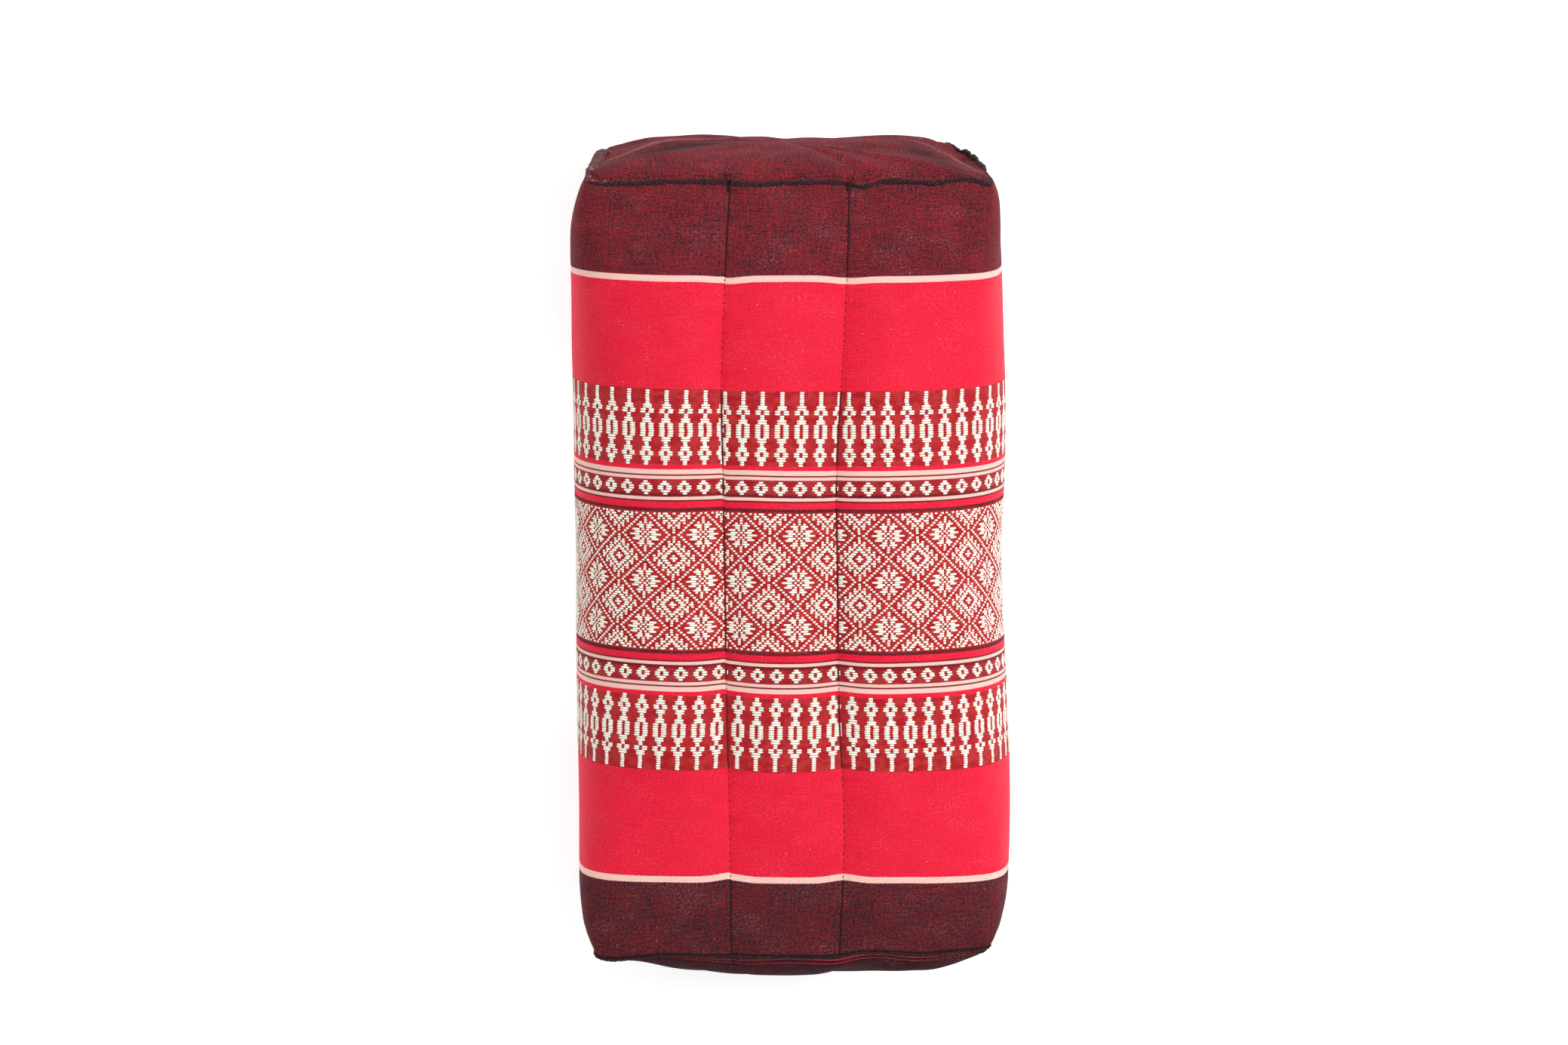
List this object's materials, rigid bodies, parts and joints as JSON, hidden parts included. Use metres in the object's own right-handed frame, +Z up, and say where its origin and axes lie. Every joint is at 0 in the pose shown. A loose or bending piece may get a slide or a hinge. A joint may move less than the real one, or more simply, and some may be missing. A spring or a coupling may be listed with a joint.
{
  "type": "block meditation cushion",
  "caption": "Hard-stuffed block meditation cushion in band-patterned woven cloth, with lengthwise sewn channels and crowned dark end panels, lying on its back.",
  "frame": {"origin": "on the surface under the middle of the cushion's bounding box", "axes": "+Y along the length to the head end, +X to the right-hand side of the face, +Z up out of the face"},
  "size_m": [0.1852, 0.3516, 0.1197],
  "materials": {
    "patterned_cloth": "matt woven cotton, red ground with cream weft floats in bands",
    "end_cloth": "matt shot cotton, red warp and black weft",
    "seam_yarn": "matt black overcast yarn"
  },
  "bodies": {
    "root": {"filled_body": "patterned_cloth", "head_end_panel": "end_cloth", "foot_end_panel": "end_cloth", "head_end_seam": "seam_yarn", "foot_end_seam": "seam_yarn"}
  },
  "joints": []
}
